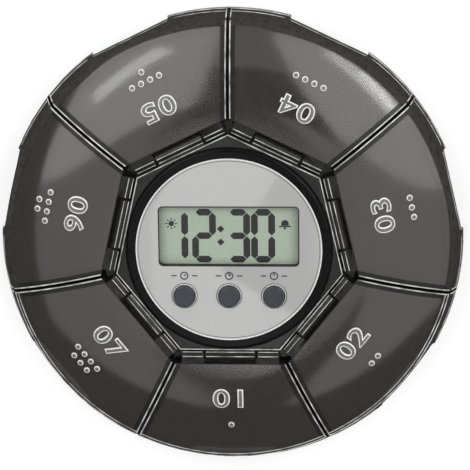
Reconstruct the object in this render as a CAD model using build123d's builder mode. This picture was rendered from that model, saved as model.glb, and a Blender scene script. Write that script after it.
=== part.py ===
from build123d import *
import os
from math import cos, radians, tan

os.makedirs("parts", exist_ok=True)

# A round seven-day pill box: a tray with seven bins, a lid over each bin, and a timer in the hub.
# Millimetres, +Z up, origin on the hub's axis at the surface that the tray stands on.
# The first day's lid points to -Y, and the days go round anticlockwise.

# Overall sizes
day_count = 7
first_day_angle = -90
rim_radius = 47.2
rim_height = 17.8
deck_height = 28.0
hub_apothem = 20.95

# Shared walls and clearances
overrun = 5.0
running_gap = 0.3
pin_clearance = 0.05

# Tray
tray_wall = 1.6
tray_floor = 1.6
foot_depth = 0.8
foot_width = 3.5
foot_inset = 3.8
bowl_taper = 9.4
bowl_round = 5.0
flange_depth = 1.4
flange_overhang = 1.2
divider_thickness = 2.0
rib_thickness = 1.8
bin_corner_round = 2.0
deck_chamfer = 0.3

# Catch at the front of each bin
catch_width = 6.0
catch_thickness = 1.0
catch_rise = 2.0
catch_root_depth = 4.0

# Hinge at the inner edge of each lid
barrel_radius = 1.2
barrel_drop = 0.2
barrel_gap = 0.35
hub_knuckle_length = 10.2
knuckle_gap = 0.3
barrel_corner_inset = 0.95
pin_radius = 0.7
pin_reach = 1.8
pin_end_gap = 0.2
gusset_drop = 2.6

# Lids
lid_wall = 1.5
skirt_wall = 1.3
lid_gap = 0.6
lid_seat_gap = 0.2
crown_radius = 27.0
shoulder_inset = 3.4
shoulder_drop = 3.8
shoulder_inner_round = 1.5
dome_side_share = 1.5
lid_edge_round = 0.45

# Flat at the front of each lid, with a lip for the fingernail
flat_inset = 1.5
flat_width = 17.1
flat_corner_round = 0.4
flat_undercut = 0.5
nail_lip_width = 15.6
nail_lip_reach = 0.5
nail_lip_height = 0.9

# Timer case, front half and back half
bezel_radius = 20.8
bezel_height = 0.9
bezel_round = 0.75
case_radius = 19.0
case_wall = 1.1
case_depth = 11.3
case_split_depth = 5.8
front_plate = 1.4
back_floor = 1.4
well_gap = 0.3

# Face plate with its window and button holes
face_radius = 18.7
face_thickness = 0.6
face_height = 0.85
window_width = 28.0
window_height = 12.1
window_round = 1.0
window_centre_y = 2.8
window_sink = 0.5
fit_gap = 0.05

# Display
panel_width = 29.0
panel_height = 13.6
panel_thickness = 1.8
panel_ledge = 1.6
strip_length = 26.0
strip_width = 1.2
strip_inset = 0.2
strip_height = 1.65

# Circuit board and what sits on it
board_radius = 17.2
board_thickness = 1.0
blob_radius = 3.5
blob_height = 1.1
crystal_radius = 0.8
crystal_length = 6.0
crystal_x = 5.0
crystal_y = -5.4
buzzer_radius = 2.9
buzzer_height = 2.6
buzzer_hole_radius = 0.6
buzzer_y = 13.1

# Buttons
button_pitch = 9.0
button_y = -9.45
button_radius = 2.25
button_hole_radius = 2.6
button_rise = 0.9
button_crown = 0.35
button_flange_radius = 3.0
button_flange = 0.8
button_play = 0.1
button_travel = 0.5
stem_radius = 1.2
switch_radius = 2.0
switch_height = 0.7
switch_taper_angle = 30

# Screws that hold the case together
screw_x = 7.5
screw_top_y = 12.9
screw_bottom_y = -15.3
screw_radius = 0.8
screw_head_radius = 1.6
screw_head_height = 1.1
screw_bite = 2.4
screw_slot_width = 0.5
screw_slot_depth = 0.5
post_radius = 1.5
boss_radius = 1.9

# Battery, its contacts and its door
cell_radius = 10.0
cell_height = 3.2
cell_edge_round = 0.4
battery_y = -1.0
cell_gap = 0.2
contact_thickness = 0.3
contact_width = 4.0
contact_foot = 3.0
contact_pad = 2.0
side_contact_drop = 3.0
door_radius = 11.2
lug_count = 2
lug_reach = 0.9
lug_width = 6.0
lug_lock_angle = 50
lug_height = 0.8
lug_play = 0.1
coin_slot_length = 11.0
coin_slot_width = 1.6
coin_slot_depth = 0.7

# Worked out from the sizes above
sector = 360 / day_count
slope = tan(radians(sector / 2))
skew = cos(radians(sector / 2))
vertex_angle = first_day_angle + sector / 2
bowl_foot_radius = rim_radius - bowl_taper
foot_outer_radius = bowl_foot_radius - foot_inset
foot_inner_radius = foot_outer_radius - foot_width
shoulder_radius = rim_radius - shoulder_inset
flat_apothem = rim_radius - flat_inset
hinge_apothem = hub_apothem + barrel_gap + barrel_radius
hinge_height = deck_height - barrel_drop - barrel_radius
lid_top = deck_height - barrel_drop
lid_bottom = rim_height + lid_seat_gap
leaf_apothem = hinge_apothem + barrel_radius + running_gap
barrel_half = hinge_apothem * slope - barrel_corner_inset
barrel_bottom = hinge_height - barrel_radius
barrel_flank = barrel_radius * cos(radians(45))
knuckle_half = hub_knuckle_length / 2
rib_reach = (leaf_apothem - running_gap) / skew - rib_thickness / 2 * slope
wall_top_radius = rim_radius - flange_overhang
floor_height = foot_depth + tray_floor
bowl_wall_top = rim_height - flange_depth
well_radius = case_radius + well_gap
well_floor = deck_height - case_depth - well_gap
catch_apothem = flat_apothem - lid_wall - running_gap - catch_thickness

face_top = deck_height + face_height
face_bottom = face_top - face_thickness
plate_bottom = face_bottom - front_plate
window_top = face_top - window_sink
panel_bottom = plate_bottom - panel_thickness
board_top = panel_bottom - strip_height
board_bottom = board_top - board_thickness
blob_curve = (blob_radius ** 2 + blob_height ** 2) / (2 * blob_height)
case_bottom = deck_height - case_depth
case_split = deck_height - case_split_depth
back_floor_top = case_bottom + back_floor
cavity_radius = case_radius - case_wall
cell_bottom = back_floor_top + cell_gap
cell_top = cell_bottom + cell_height
door_hole_radius = door_radius + running_gap
screw_places = [(-screw_x, screw_top_y), (screw_x, screw_top_y), (0, screw_bottom_y)]


def day_angle(day):
    return first_day_angle + sector * day


def side_line(apothem, setback):
    """Half the width of a sector at an apothem, less a setback square to its side."""
    return apothem * slope - setback / skew


def write_part(part, label):
    part.label = label
    export_step(part, "parts/" + label + ".step")


# The space inside one bin, pointing along +X
with BuildPart() as bin_space:
    with BuildSketch(Plane.XY.offset(floor_height)):
        inner_half = side_line(hub_apothem, divider_thickness / 2)
        outer_half = side_line(rim_radius, divider_thickness / 2)
        with BuildLine():
            Polyline(
                (hub_apothem, inner_half),
                (rim_radius, outer_half),
                (rim_radius, -outer_half),
                (hub_apothem, -inner_half),
                close=True,
            )
        plan = make_face()
        fillet(plan.vertices().group_by(Axis.X)[0], bin_corner_round)
    extrude(amount=rim_height)
    with BuildSketch(Plane.XZ) as bin_section:
        with BuildLine():
            Polyline(
                (0, floor_height),
                (bowl_foot_radius - tray_wall, floor_height),
                (wall_top_radius - tray_wall, bowl_wall_top),
                (wall_top_radius - tray_wall, rim_height + overrun),
                (0, rim_height + overrun),
                close=True,
            )
        make_face()
        foot_corner = bin_section.vertices().sort_by_distance((bowl_foot_radius, floor_height))[0]
        fillet(foot_corner, bowl_round - tray_wall)
    revolve(axis=Axis.Z, mode=Mode.INTERSECT)


# One hub knuckle with its gusset, pointing along +X
with BuildPart() as hub_knuckle:
    with BuildSketch(Plane.XZ):
        with Locations((hinge_apothem, hinge_height)):
            Circle(barrel_radius)
        with BuildLine():
            Polyline(
                (hub_apothem - tray_wall, hinge_height + barrel_radius - deck_chamfer),
                (hinge_apothem, hinge_height + barrel_radius - deck_chamfer),
                (hinge_apothem + barrel_flank, hinge_height - barrel_flank),
                (hub_apothem, barrel_bottom - gusset_drop),
                (hub_apothem - tray_wall, barrel_bottom - gusset_drop),
                close=True,
            )
        make_face()
    extrude(amount=knuckle_half, both=True)
    for side in (-1, 1):
        hole_depth = pin_reach - knuckle_gap + pin_end_gap
        with BuildSketch(Plane.XZ.offset(side * (knuckle_half - hole_depth))):
            with Locations((hinge_apothem, hinge_height)):
                Circle(pin_radius + pin_clearance)
        extrude(amount=side * (hole_depth + overrun), mode=Mode.SUBTRACT)


# Tray with its bins, dividers, hub, hinge knuckles and catches
with BuildPart() as base_tray:
    with BuildSketch(Plane.XZ) as bowl:
        with BuildLine():
            Polyline(
                (0, foot_depth),
                (foot_inner_radius, foot_depth),
                (foot_inner_radius, 0),
                (foot_outer_radius, 0),
                (foot_outer_radius, foot_depth),
                (bowl_foot_radius, foot_depth),
                (wall_top_radius, bowl_wall_top),
                (rim_radius, bowl_wall_top),
                (rim_radius, rim_height),
                (0, rim_height),
                close=True,
            )
        make_face()
        fillet(bowl.vertices().sort_by_distance((bowl_foot_radius, foot_depth))[0], bowl_round)
    revolve(axis=Axis.Z)
    with BuildSketch(Plane.XY.offset(foot_depth)):
        RegularPolygon(hub_apothem, day_count, major_radius=False, rotation=vertex_angle)
    extrude(amount=deck_height - foot_depth)
    chamfer(faces().sort_by(Axis.Z)[-1].edges(), deck_chamfer)
    with BuildSketch(Plane.XY.offset(rim_height)):
        with PolarLocations(0, day_count, start_angle=vertex_angle):
            Rectangle(rib_reach, rib_thickness, align=(Align.MIN, Align.CENTER))
    extrude(amount=barrel_bottom - running_gap - rim_height)
    with PolarLocations(0, day_count, start_angle=first_day_angle):
        add(bin_space.part, mode=Mode.SUBTRACT)
        add(hub_knuckle.part)
    # Catches that stand up behind the front wall of the lids
    with BuildSketch(Plane.XY.offset(rim_height - catch_root_depth)):
        with PolarLocations(catch_apothem, day_count, start_angle=first_day_angle):
            Rectangle(
                wall_top_radius - tray_wall / 2 - catch_apothem,
                catch_width,
                align=(Align.MIN, Align.CENTER),
            )
    extrude(amount=catch_root_depth)
    with BuildSketch(Plane.XY.offset(rim_height)):
        with PolarLocations(catch_apothem, day_count, start_angle=first_day_angle):
            Rectangle(catch_thickness, catch_width, align=(Align.MIN, Align.CENTER))
    extrude(amount=catch_rise)
    # Flats in the rim under the fingernail lips
    with BuildSketch(Plane.XY.offset(foot_depth)):
        with PolarLocations(flat_apothem - flat_undercut, day_count, start_angle=first_day_angle):
            Rectangle(overrun, flat_width, align=(Align.MIN, Align.CENTER))
    extrude(amount=rim_height, mode=Mode.SUBTRACT)
    # Well for the timer, and the hollow under its floor
    with BuildSketch(Plane.XY.offset(well_floor)):
        Circle(well_radius)
    extrude(amount=deck_height, mode=Mode.SUBTRACT)
    with BuildSketch(Plane.XY):
        RegularPolygon(hub_apothem - tray_wall, day_count, major_radius=False, rotation=vertex_angle)
    extrude(amount=well_floor - tray_floor, mode=Mode.SUBTRACT)
write_part(base_tray.part, "base_tray")


# The dome that the seven lids share: flat by the hub, an arc to the shoulder, then a steep side
shoulder = Vector(shoulder_radius, lid_top - shoulder_drop)
arc_run = shoulder_radius - crown_radius
arc_radius = (arc_run ** 2 + shoulder_drop ** 2) / (2 * shoulder_drop)
arc_normal = Vector(-arc_run / arc_radius, shoulder_drop / arc_radius - 1)
side_run = Vector(rim_radius, rim_height) - shoulder
side_normal = Vector(side_run.Y, -side_run.X).normalized()


def make_dome(inset):
    """The dome as a solid of revolution, set in all round by a wall."""
    corner = shoulder + (arc_normal + side_normal) * (inset / (1 + arc_normal.dot(side_normal)))
    side_end = corner + side_run * dome_side_share
    with BuildPart() as dome:
        with BuildSketch(Plane.XZ) as section:
            with BuildLine():
                Line((0, side_end.Y), (0, lid_top - inset))
                Line((0, lid_top - inset), (crown_radius, lid_top - inset))
                TangentArc((crown_radius, lid_top - inset), (corner.X, corner.Y), tangent=(1, 0))
                Line((corner.X, corner.Y), (side_end.X, side_end.Y))
                Line((side_end.X, side_end.Y), (0, side_end.Y))
            make_face()
            fillet(section.vertices().sort_by_distance(corner)[0], shoulder_inner_round + lid_wall - inset)
        revolve(axis=Axis.Z)
    return dome.part


def is_side_edge(edge):
    """Whether an edge of the lid's dome lies where its top meets one of its straight sides."""
    middle = edge.center()
    side_distance = abs(abs(middle.Y) - side_line(middle.X, lid_gap / 2))
    return side_distance < pin_clearance and middle.Z > lid_bottom + lid_wall


# The hollow under one lid, pointing along +X
with BuildPart() as lid_hollow:
    with BuildSketch(Plane.XY.offset(rim_height)):
        setback = lid_gap / 2 + skirt_wall
        near_half = side_line(leaf_apothem - running_gap, setback)
        far_half = side_line(flat_apothem - lid_wall, setback)
        with BuildLine():
            Polyline(
                (leaf_apothem - running_gap, near_half),
                (flat_apothem - lid_wall, far_half),
                (flat_apothem - lid_wall, -far_half),
                (leaf_apothem - running_gap, -near_half),
                close=True,
            )
        hollow_plan = make_face()
        fillet(hollow_plan.vertices().group_by(Axis.X)[-1], bin_corner_round)
    extrude(amount=deck_height)
    add(make_dome(lid_wall), mode=Mode.INTERSECT)


# One lid, pointing along +X: shell, front flat, nail lip, hinge knuckles and stub pins
with BuildPart() as lid_shape:
    with BuildSketch(Plane.XY.offset(lid_bottom)):
        with BuildLine():
            near_half = side_line(leaf_apothem, lid_gap / 2)
            far_half = side_line(rim_radius, lid_gap / 2)
            Polyline(
                (leaf_apothem, near_half),
                (rim_radius, far_half),
                (rim_radius, -far_half),
                (leaf_apothem, -near_half),
                close=True,
            )
        make_face()
    extrude(amount=deck_height)
    add(make_dome(0), mode=Mode.INTERSECT)
    fillet(edges().filter_by(is_side_edge), lid_edge_round)
    with BuildSketch(Plane.XY.offset(lid_bottom)):
        with Locations((flat_apothem, 0)):
            flat_cut = Rectangle(overrun, flat_width, align=(Align.MIN, Align.CENTER))
        fillet(flat_cut.vertices().group_by(Axis.X)[0], flat_corner_round)
    extrude(amount=deck_height, mode=Mode.SUBTRACT)
    add(lid_hollow.part, mode=Mode.SUBTRACT)
    with BuildSketch(Plane.XY.offset(lid_bottom)):
        lip_depth = lid_wall / 2 + nail_lip_reach
        with Locations((flat_apothem - lid_wall / 2, 0)):
            lip_plan = Rectangle(lip_depth, nail_lip_width, align=(Align.MIN, Align.CENTER))
        fillet(lip_plan.vertices().group_by(Axis.X)[-1], nail_lip_reach)
    extrude(amount=nail_lip_height)
    for side in (-1, 1):
        knuckle_start = knuckle_half + knuckle_gap
        with BuildSketch(Plane.XZ.offset(side * knuckle_start)):
            with Locations((hinge_apothem, hinge_height)):
                Circle(barrel_radius)
            with Locations((hinge_apothem, lid_top)):
                Rectangle(leaf_apothem - hinge_apothem, lid_wall, align=(Align.MIN, Align.MAX))
        extrude(amount=side * (barrel_half - knuckle_start))
        with BuildSketch(Plane.XZ.offset(side * (knuckle_start - pin_reach))):
            with Locations((hinge_apothem, hinge_height)):
                Circle(pin_radius)
        extrude(amount=side * pin_reach)

for day in range(day_count):
    with BuildPart() as lid:
        add(lid_shape.part, rotation=(0, 0, day_angle(day)))
    write_part(lid.part, "lid_" + str(day + 1))


# Front half of the timer case: the black bezel and the plate behind the face
with BuildPart() as timer_front:
    with BuildSketch(Plane.XY.offset(case_split)):
        Circle(case_radius)
    extrude(amount=deck_height - case_split)
    with BuildSketch(Plane.XY.offset(deck_height)):
        Circle(bezel_radius)
    extrude(amount=bezel_height)
    top_edge = edges().filter_by(GeomType.CIRCLE).group_by(Axis.Z)[-1]
    fillet(top_edge, bezel_round)
    with BuildSketch(Plane.XY.offset(face_bottom)):
        Circle(face_radius + fit_gap)
    extrude(amount=bezel_height, mode=Mode.SUBTRACT)
    with BuildSketch(Plane.XY.offset(case_split)):
        Circle(cavity_radius)
    extrude(amount=plate_bottom - case_split, mode=Mode.SUBTRACT)
    with BuildSketch(Plane.XY.offset(board_top)):
        with Locations(screw_places):
            Circle(post_radius)
    extrude(amount=plate_bottom - board_top)
    with BuildSketch(Plane.XY.offset(board_top)):
        with Locations(screw_places):
            Circle(screw_radius + pin_clearance)
    extrude(amount=screw_bite + running_gap, mode=Mode.SUBTRACT)
    with BuildSketch(Plane.XY.offset(plate_bottom)):
        with Locations((0, window_centre_y)):
            RectangleRounded(window_width + 2 * fit_gap, window_height + 2 * fit_gap, window_round)
        with Locations((0, button_y)):
            with GridLocations(button_pitch, 0, 3, 1):
                Circle(button_hole_radius)
    extrude(amount=front_plate, mode=Mode.SUBTRACT)
write_part(timer_front.part, "timer_front")


# Silver face plate
with BuildPart() as face_plate:
    with BuildSketch(Plane.XY.offset(face_bottom)):
        Circle(face_radius)
        with Locations((0, window_centre_y)):
            RectangleRounded(
                window_width + 2 * fit_gap, window_height + 2 * fit_gap, window_round, mode=Mode.SUBTRACT
            )
        with Locations((0, button_y)):
            with GridLocations(button_pitch, 0, 3, 1):
                Circle(button_hole_radius, mode=Mode.SUBTRACT)
    extrude(amount=face_thickness)
write_part(face_plate.part, "face_plate")


# Clear window, from the face down to the display
with BuildPart() as display_window:
    with BuildSketch(Plane.XY.offset(plate_bottom)):
        with Locations((0, window_centre_y)):
            RectangleRounded(window_width, window_height, window_round)
    extrude(amount=window_top - plate_bottom)
write_part(display_window.part, "display_window")


# Display: a full lower glass with its contact ledges, and a narrower upper glass
with BuildPart() as display_panel:
    with BuildSketch(Plane.XY.offset(panel_bottom + panel_thickness / 2)):
        with Locations((0, window_centre_y)):
            Rectangle(panel_width, panel_height)
    extrude(amount=panel_thickness / 2)
    with BuildSketch(Plane.XY.offset(panel_bottom)):
        with Locations((0, window_centre_y)):
            Rectangle(panel_width, panel_height - 2 * panel_ledge)
    extrude(amount=panel_thickness / 2)
write_part(display_panel.part, "display_panel")


# Rubber strips that carry the signals from the board up to the display's ledges
with BuildPart() as contact_strips:
    with BuildSketch(Plane.XY.offset(board_top)):
        with Locations((0, window_centre_y)):
            with GridLocations(0, panel_height - strip_width - 2 * strip_inset, 1, 2):
                Rectangle(strip_length, strip_width)
    extrude(amount=strip_height + panel_thickness / 2)
write_part(contact_strips.part, "contact_strips")


# Circuit board, its sealed chip, crystal, buzzer and button contacts
with BuildPart() as circuit_board:
    with BuildSketch(Plane.XY.offset(board_bottom)):
        Circle(board_radius)
        with Locations(screw_places):
            Circle(screw_radius + pin_clearance, mode=Mode.SUBTRACT)
    extrude(amount=board_thickness)
write_part(circuit_board.part, "circuit_board")

with BuildPart() as chip_cover:
    with BuildSketch(Plane.XZ.offset(-window_centre_y)):
        with BuildLine():
            Line((0, board_top), (blob_radius, board_top))
            RadiusArc((blob_radius, board_top), (0, board_top + blob_height), -blob_curve)
            Line((0, board_top + blob_height), (0, board_top))
        make_face()
    revolve(axis=Axis((0, window_centre_y, 0), (0, 0, 1)))
write_part(chip_cover.part, "chip_cover")

with BuildPart() as quartz_crystal:
    with BuildSketch(Plane.YZ.offset(crystal_x - crystal_length / 2)):
        with Locations((crystal_y, board_top + crystal_radius)):
            Circle(crystal_radius)
    extrude(amount=crystal_length)
write_part(quartz_crystal.part, "quartz_crystal")

with BuildPart() as buzzer:
    with BuildSketch(Plane.XY.offset(board_top)):
        with Locations((0, buzzer_y)):
            Circle(buzzer_radius)
    extrude(amount=buzzer_height)
    with BuildSketch(Plane.XY.offset(board_top + buzzer_height / 2)):
        with Locations((0, buzzer_y)):
            Circle(buzzer_hole_radius)
    extrude(amount=buzzer_height, mode=Mode.SUBTRACT)
write_part(buzzer.part, "buzzer")

with BuildPart() as button_contacts:
    with BuildSketch(Plane.XY.offset(board_top)):
        with Locations((0, button_y)):
            with GridLocations(button_pitch, 0, 3, 1):
                Circle(switch_radius)
    extrude(amount=switch_height, taper=switch_taper_angle)
write_part(button_contacts.part, "button_contacts")


# Buttons: a cap with a crowned top, a flange under the plate and a stem over the contact
flange_top = plate_bottom - button_play
stem_bottom = board_top + switch_height + button_travel + pin_clearance


def write_button(label, place_x):
    with BuildPart() as button:
        with BuildSketch(Plane((place_x, button_y, flange_top - button_flange))):
            Circle(button_flange_radius)
        extrude(amount=button_flange)
        with BuildSketch(Plane((place_x, button_y, flange_top))):
            Circle(button_radius)
        extrude(amount=face_top + button_rise - flange_top)
        fillet(edges().filter_by(GeomType.CIRCLE).group_by(Axis.Z)[-1], button_crown)
        with BuildSketch(Plane((place_x, button_y, stem_bottom))):
            Circle(stem_radius)
        extrude(amount=flange_top - stem_bottom)
    write_part(button.part, label)


write_button("hour_button", -button_pitch)
write_button("mode_button", 0)
write_button("minute_button", button_pitch)


# Back half of the timer case: wall, floor, screw bosses, door hole and lug notches
with BuildPart() as timer_back:
    with BuildSketch(Plane.XY.offset(case_bottom)):
        Circle(case_radius)
    extrude(amount=case_split - case_bottom)
    with BuildSketch(Plane.XY.offset(back_floor_top)):
        Circle(cavity_radius)
    extrude(amount=case_split, mode=Mode.SUBTRACT)
    with BuildSketch(Plane.XY.offset(back_floor_top)):
        with Locations(screw_places):
            Circle(boss_radius)
    extrude(amount=board_bottom - back_floor_top)
    with BuildSketch(Plane.XY.offset(case_bottom)):
        with Locations(screw_places):
            Circle(screw_head_radius + pin_clearance)
    extrude(amount=screw_head_height, mode=Mode.SUBTRACT)
    with BuildSketch(Plane.XY.offset(case_bottom)):
        with Locations(screw_places):
            Circle(screw_radius + pin_clearance)
    extrude(amount=case_depth, mode=Mode.SUBTRACT)
    with BuildSketch(Plane.XY.offset(case_bottom)):
        with Locations((0, battery_y)):
            Circle(door_hole_radius)
            with PolarLocations(0, lug_count):
                Rectangle(
                    door_hole_radius + lug_reach,
                    lug_width + 2 * running_gap,
                    align=(Align.MIN, Align.CENTER),
                )
    extrude(amount=back_floor, mode=Mode.SUBTRACT)
write_part(timer_back.part, "timer_back")


# Battery door with a coin slot and two lugs that turn over the floor of the case
with BuildPart() as battery_door:
    with BuildSketch(Plane.XY.offset(case_bottom)):
        with Locations((0, battery_y)):
            Circle(door_radius)
    extrude(amount=back_floor)
    with BuildSketch(Plane.XY.offset(case_bottom)):
        with Locations((0, battery_y)):
            SlotOverall(coin_slot_length, coin_slot_width)
    extrude(amount=coin_slot_depth, mode=Mode.SUBTRACT)
    with BuildSketch(Plane.XY.offset(back_floor_top)):
        with Locations((0, battery_y)):
            with PolarLocations(0, lug_count, start_angle=-lug_lock_angle):
                Rectangle(door_radius + lug_reach, lug_width, align=(Align.MIN, Align.CENTER))
            Circle(door_radius, mode=Mode.INTERSECT)
            Circle(cell_radius + running_gap, mode=Mode.SUBTRACT)
    extrude(amount=lug_play)
    with BuildSketch(Plane.XY.offset(back_floor_top + lug_play)):
        with Locations((0, battery_y)):
            with PolarLocations(0, lug_count, start_angle=-lug_lock_angle):
                Rectangle(door_radius + lug_reach, lug_width, align=(Align.MIN, Align.CENTER))
            Circle(cell_radius + running_gap, mode=Mode.SUBTRACT)
    extrude(amount=lug_height)
write_part(battery_door.part, "battery_door")


# Coin cell
with BuildPart() as coin_cell:
    with BuildSketch(Plane.XY.offset(cell_bottom)):
        with Locations((0, battery_y)):
            Circle(cell_radius)
    extrude(amount=cell_height)
    fillet(edges().group_by(Axis.Z)[-1], cell_edge_round)
    fillet(edges().group_by(Axis.Z)[0], cell_edge_round)
write_part(coin_cell.part, "coin_cell")


# Spring leaf from the board down to the middle of the cell
with BuildPart() as top_contact:
    with BuildSketch(Plane.XZ.offset(-battery_y)):
        with BuildLine():
            Polyline(
                (-contact_foot - contact_pad, board_bottom),
                (-contact_pad, board_bottom),
                (0, cell_top + contact_thickness),
                (contact_pad, cell_top + contact_thickness),
                (contact_pad, cell_top),
                (-contact_thickness, cell_top),
                (-contact_pad - contact_thickness, board_bottom - contact_thickness),
                (-contact_foot - contact_pad, board_bottom - contact_thickness),
                close=True,
            )
        make_face()
    extrude(amount=contact_width / 2, both=True)
write_part(top_contact.part, "top_contact")


# Angle leaf from the board down to the side of the cell
with BuildPart() as side_contact:
    with BuildSketch(Plane.XZ.offset(-battery_y)):
        leg_x = cell_radius + pin_clearance
        with BuildLine():
            Polyline(
                (leg_x, board_bottom),
                (leg_x + contact_foot, board_bottom),
                (leg_x + contact_foot, board_bottom - contact_thickness),
                (leg_x + contact_thickness, board_bottom - contact_thickness),
                (leg_x + contact_thickness, board_bottom - side_contact_drop),
                (leg_x, board_bottom - side_contact_drop),
                close=True,
            )
        make_face()
    extrude(amount=contact_width / 2, both=True)
write_part(side_contact.part, "side_contact")


# Screws up through the back, the board and into the posts of the front
with BuildPart() as case_screws:
    with BuildSketch(Plane.XY.offset(case_bottom)):
        with Locations(screw_places):
            Circle(screw_head_radius)
    extrude(amount=screw_head_height)
    with BuildSketch(Plane.XY.offset(case_bottom)):
        with Locations(screw_places):
            Circle(screw_radius)
    extrude(amount=board_top + screw_bite - case_bottom)
    with BuildSketch(Plane.XY.offset(case_bottom)):
        with Locations(screw_places):
            Rectangle(2 * screw_head_radius, screw_slot_width)
    extrude(amount=screw_slot_depth, mode=Mode.SUBTRACT)
write_part(case_screws.part, "case_screws")
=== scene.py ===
from math import asin, cos, pi, radians, sin, sqrt, tan

import bmesh
import bpy
from mathutils import Matrix, Vector


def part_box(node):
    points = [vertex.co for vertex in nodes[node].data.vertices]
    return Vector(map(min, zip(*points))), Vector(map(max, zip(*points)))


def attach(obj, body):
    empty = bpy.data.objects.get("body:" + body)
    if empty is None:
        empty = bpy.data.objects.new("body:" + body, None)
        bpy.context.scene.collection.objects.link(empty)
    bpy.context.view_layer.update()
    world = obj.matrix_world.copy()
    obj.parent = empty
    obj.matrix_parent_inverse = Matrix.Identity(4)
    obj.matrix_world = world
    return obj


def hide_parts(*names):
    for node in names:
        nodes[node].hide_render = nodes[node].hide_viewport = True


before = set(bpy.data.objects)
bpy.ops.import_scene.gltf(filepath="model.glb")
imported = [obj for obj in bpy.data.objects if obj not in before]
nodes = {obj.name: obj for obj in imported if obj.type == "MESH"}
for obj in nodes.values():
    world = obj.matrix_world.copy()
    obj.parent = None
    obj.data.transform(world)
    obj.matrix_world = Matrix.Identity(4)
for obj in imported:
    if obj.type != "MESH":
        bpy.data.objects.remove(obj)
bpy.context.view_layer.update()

# A round seven-day pill box with a timer in its hub: metres, +Z up, origin under the hub.
# Every lid, number and line of painted highlight is built for a lid along one axis, then turned to
# its day.

# Measures that several pieces share
mm = 0.001
day_count = 7
first_day_angle = radians(-90)
half_sector = pi / day_count
crown_radius = 27.0 * mm
shoulder_radius = 45.4 * mm
shoulder_drop = 4.5 * mm
rim_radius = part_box("base_tray")[1].x
lid_bottom, lid_top = (corner.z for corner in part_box("lid_1"))
face_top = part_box("face_plate")[1].z
# The display's top meets the window's underside, so the digits lie on a film just above it
film_thickness = 0.03 * mm
film_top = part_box("display_panel")[1].z + film_thickness


def day_angle(day):
    """The direction that a day's lid points in, with the days counted from 1."""
    return first_day_angle + 2 * pi * (day - 1) / day_count


def lid_height(radius, inset=0.0):
    """How high the lids' dome is at a distance from the hub's axis, outside or set in by a wall."""
    arc_run = shoulder_radius - crown_radius
    arc_radius = (arc_run ** 2 + shoulder_drop ** 2) / (2 * shoulder_drop)
    run = min(max(radius - crown_radius, 0), arc_run)
    return lid_top - arc_radius + sqrt((arc_radius - inset) ** 2 - run ** 2)


# Materials
noise_low, noise_high = 0.3, 0.7  # nearly all of the noise lies between these
fine_detail = 4.0
broad_detail = 1.5
edge_samples = 6


def new_material(name):
    """A material with its nodes and links."""
    material = bpy.data.materials.new(name)
    material.use_nodes = True
    return material, material.node_tree.nodes, material.node_tree.links


def speckle(material, scale, detail):
    """Noise on the object's own coordinates, as a socket."""
    tree = material.node_tree
    place = tree.nodes.new("ShaderNodeTexCoord")
    noise = tree.nodes.new("ShaderNodeTexNoise")
    noise.inputs["Scale"].default_value = scale
    noise.inputs["Detail"].default_value = detail
    tree.links.new(place.outputs["Object"], noise.inputs["Vector"])
    return noise.outputs["Fac"]


def spread(material, source, low, high):
    """A noise socket spread between two numbers."""
    node = material.node_tree.nodes.new("ShaderNodeMapRange")
    node.inputs["From Min"].default_value = noise_low
    node.inputs["From Max"].default_value = noise_high
    node.inputs["To Min"].default_value = low
    node.inputs["To Max"].default_value = high
    material.node_tree.links.new(source, node.inputs["Value"])
    return node.outputs["Result"]


def two_tone(material, source, dark, light):
    """A colour between two, chosen by a noise socket."""
    ramp = material.node_tree.nodes.new("ShaderNodeValToRGB")
    ramp.color_ramp.elements[0].position = noise_low
    ramp.color_ramp.elements[1].position = noise_high
    ramp.color_ramp.elements[0].color = (*dark, 1)
    ramp.color_ramp.elements[1].color = (*light, 1)
    material.node_tree.links.new(source, ramp.inputs["Fac"])
    return ramp.outputs["Color"]


def bump(material, source, depth, edge_radius):
    """Slight waves over the surface, with its sharp edges shaded as if they were rounded."""
    tree = material.node_tree
    node = tree.nodes.new("ShaderNodeBump")
    node.inputs["Distance"].default_value = depth
    tree.links.new(source, node.inputs["Height"])
    if edge_radius:
        rounding = tree.nodes.new("ShaderNodeBevel")
        rounding.samples = edge_samples
        rounding.inputs["Radius"].default_value = edge_radius
        tree.links.new(rounding.outputs["Normal"], node.inputs["Normal"])
    return node.outputs["Normal"]


def moulded(name, dark, light, rough, grain=900, wave=60, wave_depth=0.02 * mm, metallic=0.0,
            alpha=1.0, ior=1.5, coat=0.0, edge_radius=0.0, specular=0.5):
    """A moulded or coated surface: mottled colour, uneven gloss and a moulding's slight waves.

    The colour runs from dark to light and the roughness between the two numbers of rough, both
    with the same fine noise, whose scale is grain. The waves follow a broad noise.
    """
    material, parts, links = new_material(name)
    skin = parts["Principled BSDF"]
    skin.inputs["Metallic"].default_value = metallic
    skin.inputs["Alpha"].default_value = alpha
    skin.inputs["IOR"].default_value = ior
    skin.inputs["Specular IOR Level"].default_value = specular
    skin.inputs["Coat Weight"].default_value = coat
    fine = speckle(material, grain, fine_detail)
    broad = speckle(material, wave, broad_detail)
    links.new(two_tone(material, fine, dark, light), skin.inputs["Base Color"])
    links.new(spread(material, fine, *rough), skin.inputs["Roughness"])
    links.new(bump(material, broad, wave_depth, edge_radius), skin.inputs["Normal"])
    return material


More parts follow.
